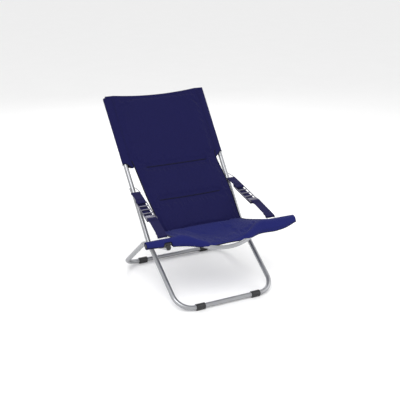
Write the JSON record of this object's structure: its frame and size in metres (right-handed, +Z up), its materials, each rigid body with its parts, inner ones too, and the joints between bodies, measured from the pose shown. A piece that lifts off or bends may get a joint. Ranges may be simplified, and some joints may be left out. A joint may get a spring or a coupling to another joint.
{
  "type": "folding beach chair",
  "caption": "Folding beach chair with crossed bent-tube frames, a navy fabric sling and adjustable strap arms with ladder buckles.",
  "frame": {"origin": "on the floor, midway between the frontmost and rearmost points, in the plane of symmetry", "axes": "+Z up; the sitter faces -Y; +X is to the left of the sitter"},
  "size_m": [0.751, 0.8324, 0.8266],
  "materials": {
    "frame_steel": "silver-grey satin coated tube",
    "bright_steel": "bright zinc plated",
    "ladder_steel": "satin plated sheet",
    "black_plastic": "black moulded, fine grain",
    "back_fabric": "navy woven polyester, matt, lightly padded",
    "seat_fabric": "navy-blue woven polyester, matt, lightly padded",
    "webbing": "navy woven webbing"
  },
  "bodies": {
    "back": {"back_frame": "frame_steel", "back_sling": "back_fabric", "pivot_rivet_left": "bright_steel", "pivot_spacer_left": "black_plastic", "front_foot_left": "black_plastic", "back_plug_left": "black_plastic", "pivot_rivet_right": "bright_steel", "pivot_spacer_right": "black_plastic", "front_foot_right": "black_plastic", "back_plug_right": "black_plastic"},
    "seat": {"seat_frame": "frame_steel", "bow_bar": "frame_steel", "seat_sling": "seat_fabric", "rear_foot_left": "black_plastic", "seat_plug_left": "black_plastic", "horn_plug_left": "black_plastic", "bow_saddle_left": "black_plastic", "bow_rivet_left": "bright_steel", "rear_foot_right": "black_plastic", "seat_plug_right": "black_plastic", "horn_plug_right": "black_plastic", "bow_saddle_right": "black_plastic", "bow_rivet_right": "bright_steel"},
    "left_upper_arm": {"upper_stirrup_left": "bright_steel", "upper_strap_left": "webbing", "ladder_left": "ladder_steel"},
    "left_lower_stirrup": {"lower_stirrup_left": "bright_steel"},
    "left_lower_arm": {"lower_strap_left": "webbing", "hook_left": "ladder_steel"},
    "right_upper_arm": {"upper_stirrup_right": "bright_steel", "upper_strap_right": "webbing", "ladder_right": "ladder_steel"},
    "right_lower_stirrup": {"lower_stirrup_right": "bright_steel"},
    "right_lower_arm": {"lower_strap_right": "webbing", "hook_right": "ladder_steel"}
  },
  "joints": [
    {"name": "fold", "type": "hinge", "parent": "back", "child": "seat", "pos_m": [0, -0.0747, 0.2235], "axis": [-1, 0, 0], "range_deg": [0, 100], "deforming": ["back_sling", "seat_sling"]},
    {"name": "left_upper_arm_swing", "type": "hinge", "parent": "back", "child": "left_upper_arm", "pos_m": [-0.25442, 0.10227, 0.44048], "axis": [-1, 0, 0], "range_deg": [0, 99.71], "deforming": ["upper_strap_left"]},
    {"name": "left_stirrup_swing", "type": "hinge", "parent": "seat", "child": "left_lower_stirrup", "pos_m": [-0.276, -0.32047, 0.29864], "axis": [1, 0, 0], "range_deg": [0, 45.51]},
    {"name": "left_lower_arm_swing", "type": "hinge", "parent": "left_lower_stirrup", "child": "left_lower_arm", "pos_m": [-0.276, -0.2887, 0.338], "axis": [1, 0, 0], "range_deg": [0, 122.11], "deforming": ["lower_strap_left"]},
    {"name": "right_upper_arm_swing", "type": "hinge", "parent": "back", "child": "right_upper_arm", "pos_m": [0.25442, 0.10227, 0.44048], "axis": [-1, 0, 0], "range_deg": [0, 99.71], "deforming": ["upper_strap_right"]},
    {"name": "right_stirrup_swing", "type": "hinge", "parent": "seat", "child": "right_lower_stirrup", "pos_m": [0.276, -0.32047, 0.29864], "axis": [1, 0, 0], "range_deg": [0, 45.51]},
    {"name": "right_lower_arm_swing", "type": "hinge", "parent": "right_lower_stirrup", "child": "right_lower_arm", "pos_m": [0.276, -0.2887, 0.338], "axis": [1, 0, 0], "range_deg": [0, 122.11], "deforming": ["lower_strap_right"]}
  ],
  "couplings": [
    {"joint": "left_upper_arm_swing", "follows": "fold", "ratio": 0.997},
    {"joint": "left_stirrup_swing", "follows": "fold", "ratio": 0.455},
    {"joint": "left_lower_arm_swing", "follows": "fold", "ratio": 1.221},
    {"joint": "right_upper_arm_swing", "follows": "fold", "ratio": 0.997},
    {"joint": "right_stirrup_swing", "follows": "fold", "ratio": 0.455},
    {"joint": "right_lower_arm_swing", "follows": "fold", "ratio": 1.221}
  ]
}
